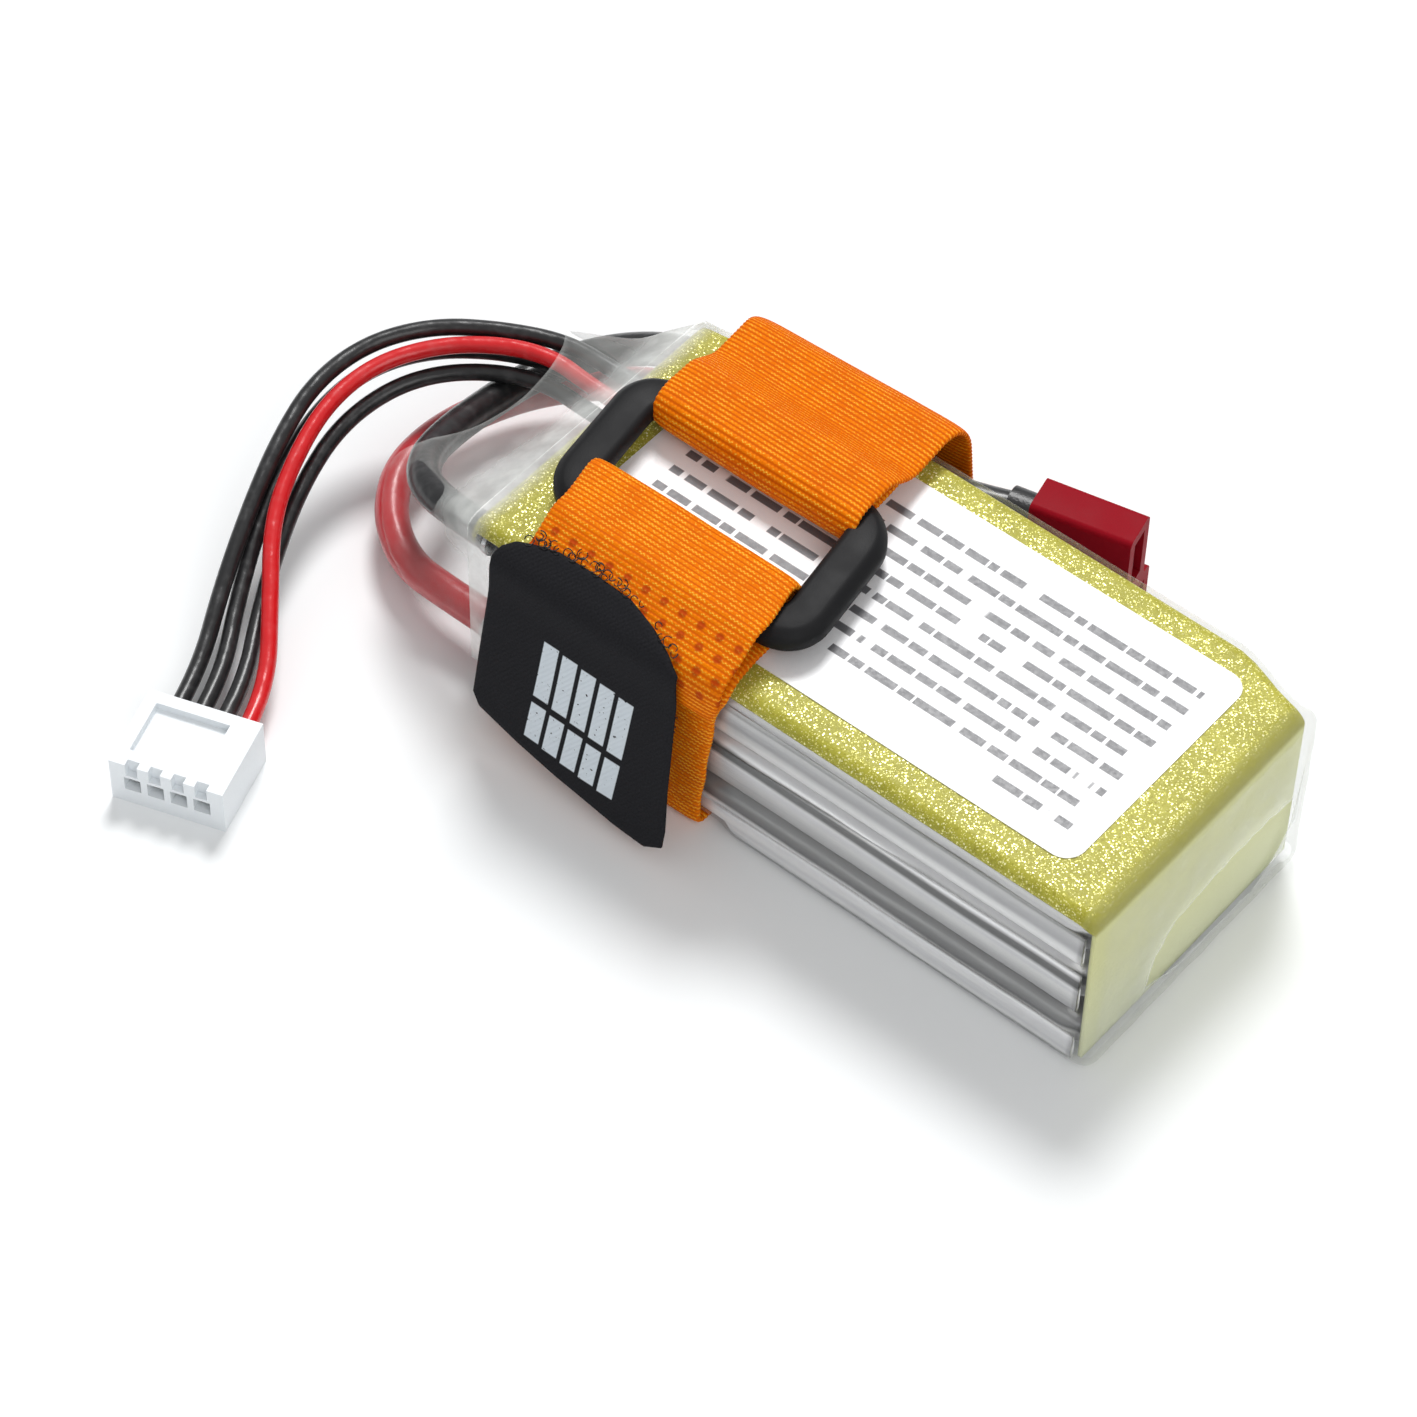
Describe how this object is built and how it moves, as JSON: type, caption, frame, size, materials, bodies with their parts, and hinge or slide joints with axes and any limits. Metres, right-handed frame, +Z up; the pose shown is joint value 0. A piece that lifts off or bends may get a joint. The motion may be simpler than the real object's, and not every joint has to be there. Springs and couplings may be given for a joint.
{
  "type": "lipo battery pack",
  "caption": "Flat rechargeable pouch-cell pack in clear film with a strap and ring, a power plug on thick leads and a balance plug on thin wires.",
  "frame": {"origin": "on the floor, under the middle of the pack, sleeve tail and strap taken together", "axes": "+X along the pack, from the lead end to the closed front end; +Y to the side where the power plug lies; +Z up"},
  "size_m": [0.1089, 0.0833, 0.028],
  "materials": {
    "pouch_foil": "satin laminate foil",
    "cell_tab_metal": "nickel-plated tab",
    "tape": "double sided tape",
    "board": "solder mask",
    "solder": "bright solder",
    "insulation": "polyimide tape",
    "foam": "soft foam",
    "glitter_card": "glitter",
    "label": "satin paper",
    "film": "clear shrink film",
    "silicone_black": "silicone",
    "silicone_red": "silicone",
    "plug_nylon": "nylon",
    "contact_gold": "gold plated",
    "shrink_black": "heat shrink",
    "shrink_red": "heat shrink",
    "housing_white": "nylon",
    "contact_tin": "tin plated",
    "webbing_orange": "woven webbing",
    "ring_black": "moulded",
    "hook_black": "woven backing",
    "hook_pile_black": "hook field"
  },
  "bodies": {
    "pack": {"cell_bottom": "pouch_foil", "cell_middle": "pouch_foil", "cell_top": "pouch_foil", "cell_tabs_bottom": "cell_tab_metal", "cell_tabs_middle": "cell_tab_metal", "cell_tabs_top": "cell_tab_metal", "spacer_tape_lower": "tape", "spacer_tape_upper": "tape", "balance_board": "board", "solder_joints": "solder", "insulation_tape": "insulation", "front_foam_pad": "foam", "glitter_card": "glitter_card", "white_label": "label", "shrink_sleeve": "film", "sleeve_tail": "film", "main_lead_black": "silicone_black", "main_lead_red": "silicone_red", "plug_housing": "plug_nylon", "plug_contact_black": "contact_gold", "plug_contact_red": "contact_gold", "plug_boot_black": "shrink_black", "plug_boot_red": "shrink_red", "balance_wire_1": "silicone_black", "balance_wire_2": "silicone_black", "balance_wire_3": "silicone_black", "balance_wire_4": "silicone_red", "balance_housing": "housing_white", "balance_terminals": "contact_tin"},
    "strap": {"strap_webbing": "webbing_orange", "strap_ring": "ring_black", "hook_tab_root": "hook_black"},
    "hook_tab": {"hook_tab": "hook_black", "hook_field": "hook_pile_black"}
  },
  "joints": [
    {"name": "strap_slide", "type": "slide", "parent": "pack", "child": "strap", "axis": [1, 0, 0], "range_m": [-0.003, 0.0005]},
    {"name": "hook_tab_peel", "type": "hinge", "parent": "strap", "child": "hook_tab", "pos_m": [-0.01395, -0.02121, 0.02], "axis": [-1, 0, 0], "range_deg": [-11, 100]}
  ]
}
